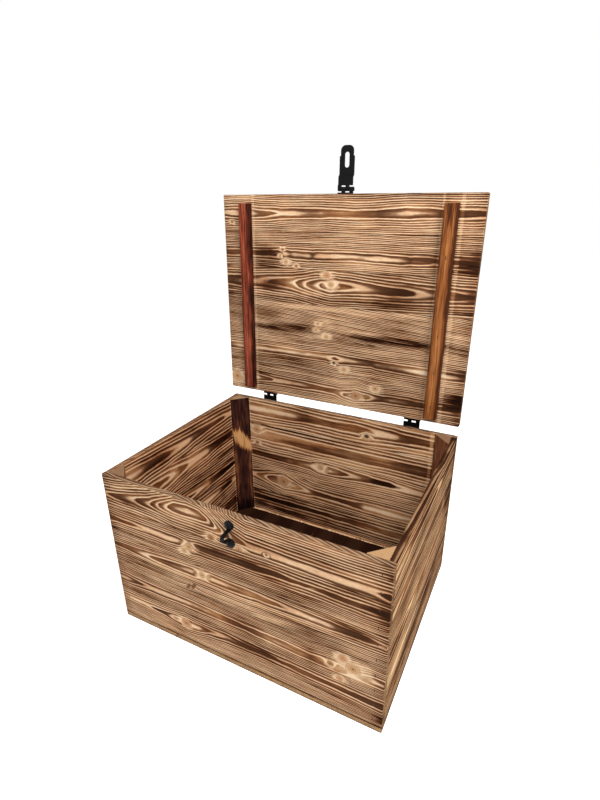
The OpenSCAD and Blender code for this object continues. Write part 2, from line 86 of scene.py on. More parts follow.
class Tree:
    """The node tree of a material or world, with short calls for the nodes used here."""

    def __init__(self, owner, output="ShaderNodeOutputMaterial"):
        owner.use_nodes = True
        self.owner = owner
        self.nodes = owner.node_tree.nodes
        self.links = owner.node_tree.links
        self.nodes.clear()
        self.out = self.new(output)

    def new(self, kind, **props):
        node = self.nodes.new(kind)
        for key, value in props.items():
            setattr(node, key, value)
        return node

    def put(self, socket, value):
        if isinstance(value, Val):
            self.links.new(value.socket, socket)
        else:
            socket.default_value = value

    def fill(self, node, *values):
        """Feeds a node's first sockets and gives its first output."""
        for socket, value in zip(node.inputs, values):
            self.put(socket, value)
        return Val(self, node.outputs[0])

    def math(self, operation, a, b=0.0, c=0.0, clamp=False):
        return self.fill(self.new("ShaderNodeMath", operation=operation, use_clamp=clamp), a, b, c)

    def vec(self, x, y, z):
        return self.fill(self.new("ShaderNodeCombineXYZ"), x, y, z)

    def split(self, vector):
        node = self.new("ShaderNodeSeparateXYZ")
        self.fill(node, vector)
        return [Val(self, output) for output in node.outputs]

    def noise(self, vector, scale=1.0, detail=2.0, rough=0.5):
        node = self.new("ShaderNodeTexNoise", noise_dimensions="3D")
        self.put(node.inputs["Vector"], vector)
        node.inputs["Scale"].default_value = scale
        node.inputs["Detail"].default_value = detail
        node.inputs["Roughness"].default_value = rough
        return Val(self, node.outputs["Fac"])

    def step(self, x, low, high, to_low=0.0, to_high=1.0):
        node = self.new("ShaderNodeMapRange", interpolation_type="SMOOTHSTEP", clamp=True)
        return self.fill(node, x, low, high, to_low, to_high)

    def ramp(self, x, stops, how="LINEAR"):
        """Colour ramp; a stop is (place, colour)."""
        node = self.new("ShaderNodeValToRGB")
        band = node.color_ramp
        band.interpolation = how
        while len(band.elements) < len(stops):
            band.elements.new(0.5)
        for element, (place, _) in zip(band.elements, stops):
            element.position = place
        for element, (_, colour) in zip(band.elements, stops):
            element.color = colour
        return self.fill(node, x)

    def mix(self, factor, a, b, blend="MIX"):
        node = self.new("ShaderNodeMix", data_type="RGBA", blend_type=blend, clamp_factor=True)
        self.put(node.inputs[0], factor)
        self.put(node.inputs[6], a)
        self.put(node.inputs[7], b)
        return Val(self, node.outputs[2])

    def coords(self, kind="Object"):
        return Val(self, self.new("ShaderNodeTexCoord").outputs[kind])

    def faces(self, axis):
        """1 on faces that look along an axis (0 is X), either way, and 0 elsewhere."""
        return self.step(self.split(self.coords("Normal"))[axis].abs(), 0.6, 0.85)

    def shows(self):
        """1 for a ray that shows the background: seen, mirrored or through something clear."""
        path = self.new("ShaderNodeLightPath")
        kinds = [Val(self, path.outputs[f"Is {kind} Ray"]) for kind in ("Camera", "Glossy", "Transmission")]
        return kinds[0].max(kinds[1]).max(kinds[2])

    def surface(self, colour, rough, height, bump_mm, metallic=0.0, specular=0.5):
        """Finishes a material with one shader and gives the material."""
        shader = self.new("ShaderNodeBsdfPrincipled")
        self.put(shader.inputs["Base Color"], colour)
        self.put(shader.inputs["Roughness"], rough)
        shader.inputs["Metallic"].default_value = metallic
        shader.inputs["Specular IOR Level"].default_value = specular
        bump = self.new("ShaderNodeBump")
        bump.inputs["Distance"].default_value = bump_mm / MM
        self.put(bump.inputs["Height"], height)
        self.links.new(bump.outputs[0], shader.inputs["Normal"])
        self.links.new(shader.outputs[0], self.out.inputs[0])
        return self.owner


class Val:
    """A value in a tree, with arithmetic."""

    def __init__(self, tree, socket):
        self.tree = tree
        self.socket = socket

    def __add__(self, other):
        return self.tree.math("ADD", self, other)

    __radd__ = __add__

    def __sub__(self, other):
        return self.tree.math("SUBTRACT", self, other)

    def __rsub__(self, other):
        return self.tree.math("SUBTRACT", other, self)

    def __mul__(self, other):
        return self.tree.math("MULTIPLY", self, other)

    __rmul__ = __mul__

    def __truediv__(self, other):
        return self.tree.math("DIVIDE", self, other)

    def abs(self):
        return self.tree.math("ABSOLUTE", self)

    def sqrt(self):
        return self.tree.math("SQRT", self)

    def floor(self):
        return self.tree.math("FLOOR", self)

    def fract(self):
        return self.tree.math("FRACT", self)

    def sin(self):
        return self.tree.math("SINE", self)

    def clamp(self):
        return self.tree.math("ADD", self, 0.0, clamp=True)

    def min(self, other):
        return self.tree.math("MINIMUM", self, other)

    def max(self, other):
        return self.tree.math("MAXIMUM", self, other)


def new_tree(name):
    return Tree(bpy.data.materials.new(name))


def ellipse(u, v, at_u, at_v, half_u, half_v, lean=0.0):
    """Distance from a point, 1 on the ellipse round it; lean tilts it, in mm of u per mm of v."""
    du = (u - at_u - (v - at_v) * lean) / half_u if lean else (u - at_u) / half_u
    dv = (v - at_v) / half_v
    return (du * du + dv * dv).sqrt()


# ---------- scorched pine ----------
# Lengths are in mm. On a panel u runs along the grain, v across it from the panel's first edge,
# and w into the wood. The year rings are the whole numbers of a field called turns. A burn of 0 is
# hardly scorched wood, and one of BURN_FULL is charred. Where a pair of numbers is given, a change
# begins at the first and ends at the second.

# Year rings
MIDDLE_WANDER = 5.0                 # how far the slow noise moves a stave's middle line
ARCH_WANDER = 1.7                   # how far the wavy noise moves a ring
RING_DIP = 0.8                      # how far a ring moves per mm into the wood
SLOW_TURNS, FINE_TURNS, UNEVEN_TURNS = 0.5, 0.12, 0.10  # what makes the rings' widths uneven
FLAT_EDGE = (0.6, 1.7)              # where flat rings turn up, in half-widths
FLAT_LEAST = 0.25                   # share of its own burn that a point gives to the steep rings
STAVE_SALT = 17.31                  # step in the noises from one stave to the next

# Burn
BURN_FULL = 1.25
BASE_BURN = 0.06
CLOUD_BURN, STREAK_BURN, TIER_BURN = 1.3, 1.1, 1.1      # how much each noise adds
TIER_STEP, TIER_LENGTH = 3.7, 120.0 # step in the noise from one ring to the next, and its wave length
BLOB_EDGE = (0.35, 1.35)            # in the blob's own size
STRIP_WANDER, STRIP_EDGE = 4.0, (0.5, 1.5)              # in mm, and in half-widths
STRIP_FADE = (2.0, 4.0)             # depths at which a strip fades out
# How far the extra burn of an end, the foot and a face reaches, and how far an edge's burn, or where its
# amount is negative its painted highlight, reaches
END_REACH, SIDE_REACH, FOOT_REACH, FACE_REACH = 24.0, 2.4, 3.5, 1.5

# Knots, in radii
PUSH_EDGE = (0.3, 2.6)              # where a knot stops pushing the rings
HALO_LONG = 1.55                    # a halo's length along the grain, against its height
HALO_START, HALO_RAGGED, HALO_WAVY = 0.5, 1.8, 1.5      # where a halo begins to fade, and how roughly
HALO_COOLS = 0.62                   # burn that a halo takes away
HEART_EDGE, KNOT_EDGE = (0.10, 0.34), (0.78, 1.12)
OUTLINE_AT, OUTLINE_EDGE = 1.08, (0.02, 0.14)
KNOT_RINGS = 2.2                    # radians of the knot's own rings per mm

SEAM_EDGE = (0.15, 0.7)             # distance from a glue line
SAW_U, SAW_V, SAW_W = 3.0, 5.0, 1.1 # size of the saw's marks
HUE_EDGE, GRIT_EDGE = (-0.1, 0.2), (-0.15, 0.15)        # levels of these noises that show

# The thin light lines of late wood, and the soft bands between them, which take the flame first
LINES = [(0.0, srgb(254, 226, 190)), (0.5, srgb(242, 201, 160)), (0.9, srgb(206, 154, 112)),
         (1.05, srgb(132, 84, 54)), (1.25, srgb(50, 27, 18))]
BANDS = [(0.0, srgb(196, 146, 98)), (0.25, srgb(144, 94, 56)), (0.5, srgb(94, 54, 29)),
         (0.8, srgb(50, 25, 14)), (1.25, srgb(16, 7, 5))]
FRESH = srgb(226, 190, 148)         # wood round a knot, too hard and resinous to scorch
SOOT_AND_SHADOW = srgb(74, 40, 28)             # darkens the darker blobs: soot, and at one front-wall blob a painted shadow beside the staple
HAZE = srgb(128, 84, 56)            # a wide scorched band is a smooth brown and never black
EMBER = srgb(206, 130, 70)          # warms some of the wood
GRIT = srgb(86, 56, 40)             # darkens the finest streaks
FRESH_SHARE, SOOT_AND_SHADOW_SHARE, EMBER_SHARE, GRIT_SHARE = 0.30, 0.9, 0.16, 0.26
SEAM = srgb(48, 30, 23)             # glue line between two staves
END_GRAIN = srgb(206, 168, 122)
END_DARK = srgb(112, 74, 44)
END_CHARRED = srgb(62, 36, 24)

# How the wood darkens from one late-wood line (0) to the next (1)
RING = [(0.0, 0.30), (0.05, 0.0), (0.21, 0.02), (0.31, 0.30),
        (0.40, 0.80), (0.55, 0.95), (0.92, 1.0), (1.0, 0.42)]


@dataclass
class KnotKind:
    """A kind of knot. The halo and the length along the grain are in radii, the push in turns and
    the lean in mm of u per mm of v."""
    body: tuple
    rings: tuple
    heart: tuple
    halo: float                     # size of the pale wood round it
    push: float                     # how far it moves the year rings apart
    long: float = 1.15
    ragged: float = 0.55            # how rough its outline is
    lean: float = 0.0


KNOTS = {
    "pale": KnotKind(srgb(206, 162, 116), srgb(156, 106, 70), srgb(122, 76, 48), 2.7, 1.1),
    "brown": KnotKind(srgb(168, 112, 72), srgb(112, 66, 40), srgb(84, 46, 28), 2.4, 1.0),
    "orange": KnotKind(srgb(198, 146, 106), srgb(168, 112, 76), srgb(156, 100, 66), 2.2, 0.8),
    "eye": KnotKind(srgb(200, 144, 102), srgb(122, 72, 46), srgb(88, 48, 30), 1.6, 0.8),
    "black": KnotKind(srgb(70, 42, 30), srgb(30, 18, 14), srgb(18, 12, 10), 2.8, 1.2),
    "slit": KnotKind(srgb(128, 80, 52), srgb(44, 24, 16), srgb(34, 19, 14), 0.6, 0.4,
                     long=0.62, ragged=0.15, lean=-0.5),
}

# Noises, by the wave length along the grain, across it and, where depth matters, into the wood. The
# offset sets one apart from the next, and a noise that isn't own runs on from stave to stave.
NOISES = {
    "slow": {"along": 110.0, "across": 40.0, "deep": 60.0, "detail": 1.0},
    "wavy": {"along": 40.0, "across": 13.0, "deep": 30.0, "offset": 3.7},
    "fine": {"along": 14.0, "across": 1.3, "deep": 3.0, "offset": 9.1, "detail": 1.0},
    "ragged": {"along": 6.5, "across": 6.5},
    "cloud": {"along": 80.0, "across": 22.0, "offset": 21.0, "detail": 3.0, "rough": 0.55, "own": False},
    "streak": {"along": 70.0, "across": 3.4, "offset": 31.0, "detail": 3.0, "rough": 0.6},
    "hue": {"along": 90.0, "across": 26.0, "offset": 51.0, "own": False},
    "grit": {"along": 6.0, "across": 0.6, "deep": 0.6, "rough": 0.7, "own": False},
}

# What a colour ramp's 1 stands for where it holds turns, a middle line, a ring width or a bend
TURNS_FULL = 16.0
MIDDLE_FULL = 100.0
RING_FULL = 10.0
BEND_FULL = 40.0


@dataclass
class Panel:
    """What sets one panel of staves apart. A stave is (ring width, half-width over which its
    rings lie flat, points along it), a point (u, turns, place of the stave's middle line, burn),
    a knot (u, v, radius, kind), a blob (u, v, half-length, half-height, burn, which at one front-wall
    blob is painted shadow) and a strip (u, half-width, burn), which shows on the face at w = 0."""
    name: str
    place: object                   # function that gives u, v and w from x, y and z
    length: float
    stave: float                    # width of a stave
    staves: list
    knots: tuple = ()
    blobs: tuple = ()
    strips: tuple = ()
    ends: tuple = (0.0, 0.0)        # burn added at the ends of the staves
    sides: tuple = (0.0, 0.0)       # burn added at the panel's first and last edge; a negative amount lightens it, a painted highlight along the arris together with less scorched wood
    foot: float = 0.0               # burn added near the ground
    char: float = 0.0               # burn added on the face at w = 0
    tone: float = 0.0               # burn added everywhere
    haze: float = 0.1               # how brown the wide flat bands are
    shear: float = 0.0              # turns per mm of u on the rim, whose lines run aslant
    tint: tuple = None
    end_axis: int = 0               # axis that the grain runs along
    seed: float = 0.0


class Boards:
    """The material of a panel, from its year rings, knots and burn to its colours."""

    def __init__(self, panel):
        self.panel = panel
        self.t = new_tree(panel.name)
        x, y, z = self.t.split(self.t.coords())
        self.u, self.v, self.w = panel.place(x * MM, y * MM, z * MM)
        self.index = (self.v / panel.stave).floor().max(0.0).min(len(panel.staves) - 1.0)
        self.salt = self.index * STAVE_SALT + panel.seed
        for name, facts in NOISES.items():
            setattr(self, name, self.noise(**facts))

    def noise(self, along, across, deep=None, offset=0.0, detail=2.0, rough=0.5, own=True):
        """One of the noises, from -0.5 to 0.5."""
        third = (self.salt if own else self.panel.seed) + offset
        if deep:
            third = self.w / deep + third
        place = self.t.vec(self.u / along, self.v / across, third)
        return self.t.noise(place, detail=detail, rough=rough) - 0.5

    def material(self):
        self.grow_rings()
        self.set_knots()
        self.scorch()
        colour = self.paint_knots(self.paint_wood())
        colour = self.paint_ends(self.paint_seams(colour))
        rough = 0.80 - 0.10 * self.band + 0.10 * self.burn
        return self.t.surface(colour, rough, (1.0 - self.band) * 0.7 + self.grit * 0.3, bump_mm=0.10,
                              specular=0.01)

    def read_points(self):
        """Turns, middle line and burn of the stave at hand, all along u."""
        t, panel = self.t, self.panel
        facts = None
        for i, (_, _, points) in enumerate(panel.staves):
            stops = [(at / panel.length, (turns / TURNS_FULL, middle / MIDDLE_FULL, burn, 1.0))
                     for at, turns, middle, burn in points]
            here = t.ramp(self.u / panel.length, stops)
            facts = t.mix(t.math("GREATER_THAN", self.index, i - 0.5), facts, here) if i else here
        turns, middle, burn = t.split(facts)
        return turns * TURNS_FULL, middle * MIDDLE_FULL, burn

    def read_staves(self):
        """Ring width, half-width of the flat rings and usual burn of the stave at hand."""
        count = len(self.panel.staves)
        stops = []
        for i, (ring, bend, points) in enumerate(self.panel.staves):
            usual = sum(point[3] for point in points) / len(points)
            stops.append((i / count, (ring / RING_FULL, bend / BEND_FULL, usual, 1.0)))
        ring, bend, usual = self.t.split(self.t.ramp((self.index + 0.5) / count, stops, "CONSTANT"))
        return ring * RING_FULL, bend * BEND_FULL, usual

    def grow_rings(self):
        """Rings that lie flat along a stave's middle line and turn up towards its edges."""
        t, panel = self.t, self.panel
        turns, middle, self.local_burn = self.read_points()
        ring, bend, self.usual_burn = self.read_staves()
        across = self.v - self.index * panel.stave - middle + self.slow * MIDDLE_WANDER
        arch = (across * across + bend * bend).sqrt() - bend
        turns = turns + (arch + self.w * RING_DIP + self.wavy * ARCH_WANDER) / ring
        self.turns = turns + self.slow * SLOW_TURNS + self.fine * FINE_TURNS
        if panel.shear:
            self.turns = self.turns + t.faces(2) * self.u * panel.shear
        start, stop = (bend * edge for edge in FLAT_EDGE)
        self.flat = t.step(across.abs(), start, stop, 1.0, FLAT_LEAST)

    def set_knots(self):
        """Knots push the rings apart, and a pale halo lies round them."""
        t, panel = self.t, self.panel
        self.halo = None
        self.cores = []
        for at_u, at_v, radius, name in panel.knots:
            kind = KNOTS[name]
            same = t.math("COMPARE", self.index, math.floor(at_v / panel.stave), 0.5)
            near = ellipse(self.u, self.v, at_u, at_v, radius * HALO_LONG, radius)
            self.turns = self.turns + t.step(near, *PUSH_EDGE, kind.push, 0.0) * same
            near = near + self.ragged * HALO_RAGGED + self.wavy * HALO_WAVY
            glow = t.step(near, HALO_START, kind.halo, 1.0, 0.0) * same
            self.halo = self.halo.max(glow) if self.halo else glow
            core = ellipse(self.u, self.v, at_u, at_v, radius * kind.long, radius, kind.lean)
            self.cores.append((core + self.ragged * kind.ragged, same, radius, kind))
        self.turns = self.turns + (self.turns * 1.9 + self.salt).sin() * UNEVEN_TURNS
        self.band = t.split(t.ramp(self.turns.fract(), [(at, grey(dark)) for at, dark in RING]))[0]

    def scorch(self):
        """How far the wood is burnt, place by place. Each year ring, a tier, takes the flame in
        its own way."""
        t, panel = self.t, self.panel
        tier = t.noise(t.vec(self.turns.floor() * TIER_STEP, self.u / TIER_LENGTH, self.salt), detail=0.0)
        burn = self.usual_burn + (self.local_burn - self.usual_burn) * self.flat
        burn = burn + self.cloud * CLOUD_BURN + self.streak * STREAK_BURN + (tier - 0.5) * TIER_BURN
        burn = burn + panel.tone + BASE_BURN
        self.soot_and_shadow = 0.0
        # A blob with a positive amount darkens the wood; the one at u 310 on the front wall is a painted
        # shadow beside the staple, not burn.
        for at_u, at_v, half_u, half_v, amount in panel.blobs:
            far = ellipse(self.u + self.wavy * half_u, self.v + self.cloud * half_v,
                          at_u, at_v, half_u, half_v)
            spot = t.step(far + self.streak, *BLOB_EDGE, amount, 0.0)
            burn = burn + spot
            if amount > 0:
                self.soot_and_shadow = spot + self.soot_and_shadow
        for at_u, half, amount in panel.strips:
            far = (self.u - at_u).abs() + self.cloud * STRIP_WANDER
            covered = t.step(far, half * STRIP_EDGE[0], half * STRIP_EDGE[1], amount, 0.0)
            burn = burn + covered * t.step(self.w, *STRIP_FADE, 1.0, 0.0)
        burn = burn + self.burn_and_highlight_at_edges()
        if self.halo:
            burn = burn - self.halo * HALO_COOLS
        self.burn = (burn / BURN_FULL).clamp()

    def burn_and_highlight_at_edges(self):
        """Burn added near the panel's ends, edges, foot and face. A negative amount at an edge lightens it
        instead: a painted highlight along the arris together with less scorched wood.
        """
        panel = self.panel
        last_v = len(panel.staves) * panel.stave
        edges = ((self.u, END_REACH, panel.ends[0]), (panel.length - self.u, END_REACH, panel.ends[1]),
                 (self.v, SIDE_REACH, panel.sides[0]), (last_v - self.v, SIDE_REACH, panel.sides[1]),
                 (BOTTOM_T - self.w, FOOT_REACH, panel.foot), (self.w, FACE_REACH, panel.char))
        return sum(self.t.step(far + self.cloud * reach, reach * 0.1, reach, amount, 0.0)
                   for far, reach, amount in edges if amount)

    def paint_wood(self):
        """Light lines and dark bands at their burn, then hue, grit, haze, and the soot of the darker blobs,
        one of which is a painted shadow.
        """
        t = self.t
        amount = self.band * (1.0 - self.halo * 0.6) if self.halo else self.band
        lines, bands = (t.ramp(self.burn, [(burn / BURN_FULL, shade) for burn, shade in shades])
                        for shades in (LINES, BANDS))
        colour = t.mix(amount, lines, bands)
        colour = t.mix(t.step(self.hue, *HUE_EDGE, 0.0, EMBER_SHARE), colour, EMBER, "SOFT_LIGHT")
        colour = t.mix(t.step(self.grit, *GRIT_EDGE, GRIT_SHARE, 0.0), colour, GRIT, "MULTIPLY")
        colour = t.mix(self.flat * self.band * self.panel.haze, colour, HAZE)
        if self.soot_and_shadow:
            colour = t.mix(self.soot_and_shadow * SOOT_AND_SHADOW_SHARE, colour, SOOT_AND_SHADOW, "MULTIPLY")
        if self.halo:
            colour = t.mix(self.halo * FRESH_SHARE, colour, FRESH)
        return colour

    def paint_knots(self, colour):
        """Rings round a heart, with a thin outline where the knot meets the wood."""
        t = self.t
        for core, same, radius, kind in self.cores:
            stripe = (core * (radius * KNOT_RINGS)).sin() * 0.5 + 0.5
            ringed = t.mix(stripe * t.step(core, 0.2, 0.9, 0.75, 0.35), kind.body, kind.rings)
            knot = t.mix(t.step(core, *HEART_EDGE, 1.0, 0.0), ringed, kind.heart)
            colour = t.mix(t.step(core, *KNOT_EDGE, 0.9, 0.0) * same, colour, knot)
            outline = t.step((core - OUTLINE_AT).abs(), *OUTLINE_EDGE, 0.5, 0.0)
            colour = t.mix(outline * same, colour, kind.rings)
        return colour

    def paint_seams(self, colour):
        """Dark glue lines between the staves, and the panel's tint."""
        t, panel = self.t, self.panel
        place = self.v / panel.stave
        far = (place - (place + 0.5).floor()).abs() * panel.stave
        colour = t.mix(t.step(far, *SEAM_EDGE, 0.6, 0.0), colour, SEAM)
        return t.mix(1.0, colour, srgb(*panel.tint), "MULTIPLY") if panel.tint else colour

    def paint_ends(self, colour):
        """Sawn end grain, with the marks of the saw."""
        t = self.t
        saw = t.noise(t.vec(self.u / SAW_U, self.v / SAW_V, self.w / SAW_W))
        sawn = t.mix(self.band * 0.5 + saw * 0.3, END_GRAIN, END_DARK)
        sawn = t.mix(self.burn * self.burn * 0.8, sawn, END_CHARRED)
        return t.mix(t.faces(self.panel.end_axis) * 0.9, colour, sawn)


# ---------- where a panel's u, v and w lie ----------

def place_front(x, y, z):
    return x + BOX_W / 2, BOX_H - z, y + BOX_D / 2


def place_back(x, y, z):
    return x + BOX_W / 2, BOX_H - z, (y - (BOX_D / 2 - WALL_T)).abs()


def place_left(x, y, z):
    return y + (BOX_D / 2 - WALL_T), BOX_H - z, (x + (BOX_W / 2 - WALL_T)).abs()


def place_right(x, y, z):
    return y + (BOX_D / 2 - WALL_T), BOX_H - z, BOX_W / 2 - x


def place_bottom(x, y, z):
    return y + BOX_D / 2, x + BOX_W / 2, BOTTOM_T - z


def shut(x, y, z):
    """Coordinates of the lid as if it were shut, from those of the lid as it stands."""
    c, s = math.cos(LID_OPEN), math.sin(LID_OPEN)
    dy, dz = y - AXIS_Y, z - AXIS_Z
    return x, dy * c - dz * s + AXIS_Y, dy * s + dz * c + AXIS_Z


def place_lid(x, y, z):
    x, y, z = shut(x, y, z)
    return x + LID_W / 2, y - LID_FRONT, z - LID_UNDER


def place_post(side_x, side_y):
    """Grain upright; v across the face that looks into the box, from the side wall."""
    def place(x, y, z):
        across = (BOX_W / 2 - WALL_T) - x * side_x
        deep = (BOX_D / 2 - WALL_T) - y * side_y
        return BOX_H - z, (across - deep) * HALF_ROOT + POST_FACE / 2, (across + deep) * HALF_ROOT
    return place


def place_batten(node):
    """Grain along the batten; v across it from its left edge."""
    left, _ = extent(node, 0)

    def place(x, y, z):
        x, y, z = shut(x, y, z)
        return y - LID_FRONT, x - left, LID_UNDER - z
    return place


# ---------- the panels, as the photograph shows their grain ----------

def front_wall():
    staves = [
        (4.3, 11, [(0, 5.15, 36, .48), (30, 4.8, 35, .46), (65, 4.12, 31, .42), (98, 3.1, 28, .40),
                   (118, 2.1, 25, .40), (138, 1.1, 22, .34), (152, .4, 19, .28), (177, .08, 18, .24),
                   (200, .36, 20, .30), (215, 1.1, 24, .34), (235, 2.6, 33, .40), (258, 4.45, 40, .46),
                   (282, 5.02, 45, .40), (350, 5.15, 47, .36), (430, 5.2, 48, .42), (476, 5.1, 48.5, .5),
                   (500, 4.8, 49, .62)]),
        (2.9, 15, [(0, 1.8, 24, .52), (18, 2.0, 24, .46), (100, 2.2, 24, .42), (150, 2.32, 24, .34),
                   (172, 2.5, 25, .30), (192, 2.62, 22, .50), (330, 2.7, 20, .56), (366, 2.92, 20, .44),
                   (400, 2.85, 20, .50), (500, 2.7, 20, .66)]),
        (3.1, 11, [(0, 2.75, 21, .46), (40, 2.5, 21, .42), (60, 2.3, 21, .30), (80, 2.04, 20, .32),
                   (90, 1.85, 20, .48), (125, 1.5, 19, .46), (136, 1.3, 19, .30), (160, 1.15, 18, .24),
                   (193, 1.0, 17, .20), (240, 1.12, 18, .24), (281, 1.33, 18, .28), (295, 1.5, 17, .42),
                   (345, 1.9, 17, .42), (365, 2.04, 17, .34), (412, 2.32, 17, .32), (426, 2.48, 17, .60),
                   (470, 2.65, 17, .66), (488, 2.95, 17, .40), (500, 3.0, 17, .50)]),
        (2.6, 15, [(0, 1.25, 34, .40), (22, 1.34, 34, .42), (34, 1.55, 34, .56), (58, 1.78, 34, .54),
                   (76, 2.0, 34, .36), (160, 2.14, 33, .32), (222, 2.32, 33, .30), (238, 2.5, 33, .62),
                   (268, 2.66, 33, .80), (300, 2.48, 34, .66), (312, 2.3, 34, .36), (340, 2.22, 34, .34),
                   (368, 2.32, 35, .42), (385, 2.58, 35, .74), (398, 2.4, 34, .40), (440, 2.1, 30, .16),
                   (500, 2.3, 30, .36)]),
        (2.9, 13, [(0, 2.4, 20, .44), (60, 2.2, 20, .40), (105, 1.6, 21, .36), (128, .8, 22, .30),
                   (147, .2, 22, .28), (170, 1.1, 21, .34), (195, 1.9, 17, .44), (232, 2.2, 14, .38),
                   (262, 2.5, 14, .60), (300, 2.6, 14, .66), (400, 2.68, 14, .66), (480, 2.6, 14, .56),
                   (500, 2.45, 14, .50)]),
    ]
    knots = [(218, 53, 5.5, "brown"), (268, 57, 5.5, "orange"), (315, 49, 2.6, "brown"),
             (172, 87, 5.5, "pale"), (162, 98, 4, "pale"), (193, 135, 5.5, "pale"),
             (173, 166, 6.4, "slit"), (162, 170, 5.8, "slit"), (417, 208, 4.5, "brown"),
             (452, 200, 9, "pale"), (436, 187, 6, "orange"), (432, 230, 4.5, "orange"),
             (147, 258, 8, "eye")]
    blobs = [(100, 83, 90, 3, -.30), (250, 79, 75, 7, .22), (380, 78, 30, 4, -.25), (484, 79, 26, 6, .35),
             (450, 134, 32, 7, .30), (250, 150, 260, 3.0, -.45), (250, 167, 240, 7, -.22),
             (445, 208, 44, 18, -.50), (468, 186, 26, 4, -.3), (90, 214, 60, 5, .12),
             (300, 118, 70, 9, .22), (400, 170, 60, 12, .28), (70, 160, 50, 10, .15),
             (60, 285, 90, 9, -.18), (300, 284, 200, 7, -.28), (250, 294, 300, 2.4, .45),
             # The blob at u 310, v 41 is a painted shadow to the right of the staple.
             (54, 38, 36, 8, .20), (310, 41, 30, 6, .12)]
    # The lighter top edge, from the negative first edge amount, is a painted highlight along the arris
    # together with less scorched wood.
    return Panel("pine_front", place_front, BOX_W, WALL_STAVE, staves, knots, blobs, ends=(0.25, 0.30),
                 sides=(-0.3, 0.0), seed=2.0, haze=0.2, tone=0.04, shear=0.05)


def back_wall():
    staves = [
        (6.0, 15, [(0, 1.1, 24, .30), (37, 1.15, 24, .28), (120, 1.26, 24, .26), (160, 1.36, 24, .34),
                   (172, 1.52, 24, .50), (240, 1.8, 25, .52), (300, 1.7, 25, .48), (325, 1.88, 25, .44),
                   (340, 2.08, 25, .34), (372, 2.26, 25, .32), (384, 2.36, 25, .40), (394, 2.52, 25, .52),
                   (440, 2.7, 25, .50), (500, 2.8, 25, .50)]),
        (6.0, 18, [(0, 2.45, 27, .34), (57, 2.4, 27, .28), (100, 2.45, 29, .46), (200, 2.58, 29, .52),
                   (350, 2.58, 30, .50), (500, 2.5, 30, .54)]),
        (4.3, 12, [(0, 2.6, 20, .62), (125, 2.55, 20, .62), (142, 2.36, 20, .50), (156, 2.5, 20, .62),
                   (195, 2.2, 20, .46), (210, 1.3, 20, .30), (220, 1.0, 20, .26), (235, 1.15, 20, .30),
                   (257, 1.34, 20, .34), (267, 1.52, 20, .52), (286, 1.86, 20, .48), (300, 2.08, 20, .36),
                   (332, 2.34, 20, .40), (342, 2.52, 20, .66), (378, 2.64, 20, .66), (392, 2.9, 21, .46),
                   (445, 3.15, 23, .44), (500, 3.2, 23, .50)]),
        (4.8, 14, [(0, 3.2, 20, .56), (45, 3.1, 20, .56), (60, 2.7, 20, .62), (75, 2.2, 20, .50),
                   (95, 1.4, 21, .42), (125, .3, 21, .34), (150, 1.2, 24, .38), (170, 1.9, 28, .40),
                   (185, 2.1, 30, .40), (196, 2.34, 31, .48), (205, 2.52, 31, .72), (260, 2.66, 31, .74),
                   (314, 2.52, 31, .66), (326, 2.3, 31, .36), (375, 2.15, 31, .34), (430, 2.2, 31, .40),
                   (500, 2.3, 31, .50)]),
        (3.9, 20, [(0, 2.6, 22, .90), (140, 2.66, 22, .96), (232, 2.62, 22, .84), (250, 2.6, 22, .62),
                   (350, 2.55, 22, .56), (500, 2.6, 22, .66)]),
    ]
    knots = [(323, 36, 4.5, "black"), (57, 77, 8, "pale"), (57, 110, 4, "brown"), (220, 137, 6, "pale"),
             (125, 198, 10, "eye")]
    blobs = [(100, 23, 64, 5, -.42), (355, 25, 30, 7, -.38), (200, 63, 190, 3, .45),
             (240, 78, 160, 3, -.40), (250, 106, 200, 4, -.38), (180, 93, 55, 7, .22),
             (365, 138, 28, 6, .30), (90, 138, 70, 12, .25), (255, 207, 60, 8, .25),
             (385, 209, 56, 5, -.4), (130, 258, 100, 9, .35), (250, 246, 240, 3, .2),
             (250, 281, 240, 8, .2), (250, 293, 250, 2.4, -.6)]
    # The lighter top edge, from the negative first edge amount, is a painted highlight along the arris
    # together with less scorched wood.
    return Panel("pine_back", place_back, BOX_W, WALL_STAVE, staves, knots, blobs,
                 strips=((40, 2.6, -.35), (455, 3.4, -.55)), seed=7.0, tint=(255, 249, 245), tone=-0.2,
                 sides=(-0.15, 0.0), haze=0.08, shear=0.03)


